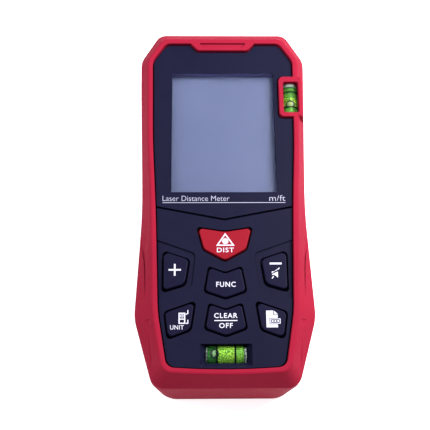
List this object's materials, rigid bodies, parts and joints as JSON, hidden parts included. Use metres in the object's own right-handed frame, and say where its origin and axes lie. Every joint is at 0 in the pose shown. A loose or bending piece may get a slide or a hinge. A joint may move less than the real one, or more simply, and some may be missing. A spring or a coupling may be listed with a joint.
{
  "type": "laser distance meter",
  "caption": "Pocket laser distance meter with a display, a keypad, two spirit vials, an overmoulded rubber jacket and a battery door.",
  "frame": {"origin": "centre of the case outline, on the plane that the back rests on", "axes": "+Z out of the display, +Y towards the optics end that the beam leaves, +X across the case"},
  "size_m": [0.0548, 0.118, 0.028],
  "materials": {
    "red_rubber": "matt",
    "navy_plastic": "fine texture",
    "red_plastic": "satin",
    "clear_acrylic": "clear",
    "black_plastic": "fine texture",
    "steel": "plain",
    "brass": "turned",
    "grey_rubber": "matt",
    "green_board": "solder mask",
    "black_chip": "matt",
    "white_plastic": "satin",
    "display_glass": "polariser film",
    "cell_can": "printed sleeve",
    "lens_glass": "coated",
    "filter_glass": "red filter",
    "vial_liquid": "tinted liquid",
    "bubble": "clear"
  },
  "bodies": {
    "case": {"battery_bridge": "steel", "battery_cell_left": "cell_can", "battery_cell_right": "cell_can", "battery_springs": "steel", "battery_terminals": "steel", "bench_screws": "steel", "board_chips": "black_chip", "board_screws": "steel", "bottom_vial_liquid": "vial_liquid", "bottom_vial_marks": "black_chip", "bottom_vial_plugs": "clear_acrylic", "bottom_vial_tube": "clear_acrylic", "buzzer": "black_plastic", "case_screws": "steel", "display_lens": "clear_acrylic", "front_housing": "navy_plastic", "front_jacket": "red_rubber", "key_domes": "steel", "keypad_mat": "grey_rubber", "lanyard_post": "steel", "laser_barrel": "brass", "laser_collimator": "lens_glass", "laser_diode": "steel", "laser_window": "lens_glass", "lcd_backlight": "white_plastic", "lcd_connector": "grey_rubber", "lcd_frame": "white_plastic", "lcd_panel": "display_glass", "main_board": "green_board", "nose_bezel": "black_plastic", "optics_bench": "black_plastic", "rear_housing": "black_plastic", "rear_jacket": "red_rubber", "receiver_filter": "filter_glass", "receiver_lens": "lens_glass", "receiver_sensor": "black_plastic", "receiver_window": "lens_glass", "sensor_board": "green_board", "side_vial_liquid": "vial_liquid", "side_vial_marks": "black_chip", "side_vial_plugs": "clear_acrylic", "side_vial_tube": "clear_acrylic", "tripod_insert": "brass"},
    "battery_door": {"battery_door": "black_plastic"},
    "bottom_vial_bubble": {"bottom_vial_bubble": "bubble"},
    "clear_key": {"clear_key": "navy_plastic"},
    "function_key": {"function_key": "navy_plastic"},
    "measure_key": {"measure_key": "red_plastic"},
    "memory_key": {"memory_key": "navy_plastic"},
    "minus_key": {"minus_key": "navy_plastic"},
    "plus_key": {"plus_key": "navy_plastic"},
    "side_vial_bubble": {"side_vial_bubble": "bubble"},
    "unit_key": {"unit_key": "navy_plastic"}
  },
  "joints": [
    {"name": "measure_key_press", "type": "slide", "parent": "case", "child": "measure_key", "axis": [0, 0, -1], "range_m": [0, 0.0007], "stiffness_N_per_m": 900, "springref_m": -0.0004},
    {"name": "function_key_press", "type": "slide", "parent": "case", "child": "function_key", "axis": [0, 0, -1], "range_m": [0, 0.0007], "stiffness_N_per_m": 900, "springref_m": -0.0004},
    {"name": "clear_key_press", "type": "slide", "parent": "case", "child": "clear_key", "axis": [0, 0, -1], "range_m": [0, 0.0007], "stiffness_N_per_m": 900, "springref_m": -0.0004},
    {"name": "plus_key_press", "type": "slide", "parent": "case", "child": "plus_key", "axis": [0, 0, -1], "range_m": [0, 0.0007], "stiffness_N_per_m": 900, "springref_m": -0.0004},
    {"name": "minus_key_press", "type": "slide", "parent": "case", "child": "minus_key", "axis": [0, 0, -1], "range_m": [0, 0.0007], "stiffness_N_per_m": 900, "springref_m": -0.0004},
    {"name": "unit_key_press", "type": "slide", "parent": "case", "child": "unit_key", "axis": [0, 0, -1], "range_m": [0, 0.0007], "stiffness_N_per_m": 900, "springref_m": -0.0004},
    {"name": "memory_key_press", "type": "slide", "parent": "case", "child": "memory_key", "axis": [0, 0, -1], "range_m": [0, 0.0007], "stiffness_N_per_m": 900, "springref_m": -0.0004},
    {"name": "battery_door_tilt", "type": "hinge", "parent": "case", "child": "battery_door", "pos_m": [0, -0.0518, 0.0016], "axis": [-1, 0, 0], "range_deg": [0, 75]},
    {"name": "bottom_bubble_run", "type": "slide", "parent": "case", "child": "bottom_vial_bubble", "axis": [1, 0, 0], "range_m": [-0.00035, 0.00715]},
    {"name": "side_bubble_run", "type": "slide", "parent": "case", "child": "side_vial_bubble", "axis": [0, 1, 0], "range_m": [-0.00215, 0.00535]}
  ]
}
